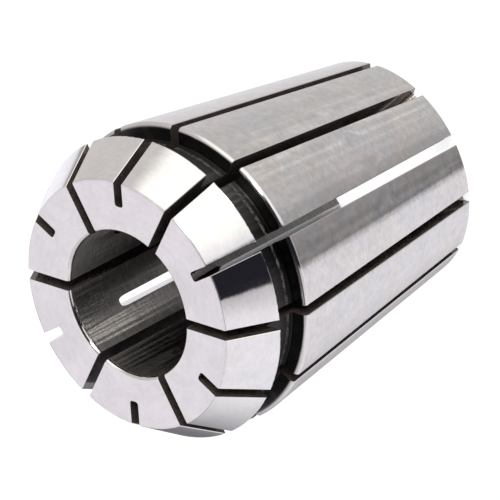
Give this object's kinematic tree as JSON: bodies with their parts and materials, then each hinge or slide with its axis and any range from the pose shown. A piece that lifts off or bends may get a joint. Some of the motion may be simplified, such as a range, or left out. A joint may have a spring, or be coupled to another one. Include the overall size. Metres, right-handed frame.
{
  "type": "spring collet",
  "caption": "One-piece slit steel spring collet with an outer body taper, a steep nose cone behind the front face, a pull-out groove and a straight clamping bore.",
  "frame": {"origin": "centre of the rear face, at the small end of the taper, on which the collet stands", "axes": "+Z along the collet's axis from the rear face to the nose; -Y through the middle of one of the cuts made from the rear"},
  "size_m": [0.033, 0.033, 0.04],
  "materials": {
    "ground_steel": "ground and lapped"
  },
  "bodies": {
    "root": {"collet": "ground_steel"}
  },
  "joints": []
}
